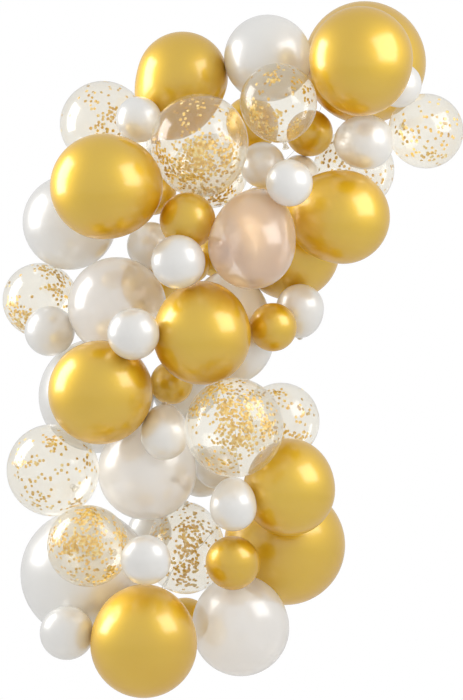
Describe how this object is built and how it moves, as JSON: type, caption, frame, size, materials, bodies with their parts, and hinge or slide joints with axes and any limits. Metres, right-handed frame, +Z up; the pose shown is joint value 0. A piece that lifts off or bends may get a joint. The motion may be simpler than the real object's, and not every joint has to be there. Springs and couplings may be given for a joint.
{
  "type": "balloon garland",
  "caption": "Organic balloon garland: gold, pearl and confetti-filled clear balloons of mixed sizes, tied to a clear strip with a hook tab at each end, to hang on a wall or backdrop.",
  "frame": {"origin": "on the wall plane, at the middle of the flat back of the strip's top tab", "axes": "+Y into the wall, +Z up, so the garland's front faces -Y and +X is to the right seen from the front"},
  "size_m": [1.1488, 0.6672, 1.7384],
  "materials": {
    "gold": "satin chrome gold latex",
    "pearl": "pearl white latex with a soft sheen",
    "clear": "clear glossy latex",
    "strip": "clear plastic tape"
  },
  "bodies": {
    "root": {"confetti_balloon_centre": "clear", "confetti_balloon_centre_right": "clear", "confetti_balloon_left": "clear", "confetti_balloon_lower_left": "clear", "confetti_balloon_lower_middle": "clear", "confetti_balloon_right_back": "clear", "confetti_balloon_shoulder": "clear", "confetti_balloon_shoulder_back": "clear", "confetti_balloon_shoulder_left": "clear", "confetti_balloon_top": "clear", "confetti_balloon_top_right": "clear", "confetti_balloon_waist_left": "clear", "gold_balloon_bottom": "gold", "gold_balloon_bottom_inner": "gold", "gold_balloon_centre": "gold", "gold_balloon_centre_small": "gold", "gold_balloon_left": "gold", "gold_balloon_left_inner": "gold", "gold_balloon_lower_right_back": "gold", "gold_balloon_lower_small": "gold", "gold_balloon_middle_inner": "gold", "gold_balloon_middle_right_back": "gold", "gold_balloon_right": "gold", "gold_balloon_right_small": "gold", "gold_balloon_shoulder_inner": "gold", "gold_balloon_shoulder_left": "gold", "gold_balloon_shoulder_small": "gold", "gold_balloon_shoulder_top": "gold", "gold_balloon_top": "gold", "gold_balloon_top_back": "gold", "gold_balloon_upper_inner": "gold", "gold_balloon_upper_small": "gold", "gold_balloon_waist_right": "gold", "hanging_strip": "strip", "pearl_balloon_bottom_right": "pearl", "pearl_balloon_centre_back": "pearl", "pearl_balloon_centre_inner": "pearl", "pearl_balloon_centre_small": "pearl", "pearl_balloon_left": "pearl", "pearl_balloon_left_edge_small": "pearl", "pearl_balloon_left_small": "pearl", "pearl_balloon_lower_inner": "pearl", "pearl_balloon_lower_left_back": "pearl", "pearl_balloon_lower_small": "pearl", "pearl_balloon_middle": "pearl", "pearl_balloon_middle_left_back": "pearl", "pearl_balloon_middle_small": "pearl", "pearl_balloon_right": "pearl", "pearl_balloon_right_inner": "pearl", "pearl_balloon_right_small": "pearl", "pearl_balloon_shoulder_left": "pearl", "pearl_balloon_shoulder_small": "pearl", "pearl_balloon_top_left": "pearl", "pearl_balloon_top_small": "pearl", "pearl_balloon_upper_small": "pearl", "pearl_balloon_upper_small_left": "pearl", "pearl_balloon_waist": "pearl", "pearl_balloon_waist_back": "pearl", "pearl_balloon_waist_small": "pearl", "pearl_balloon_waist_small_left": "pearl"}
  },
  "joints": []
}
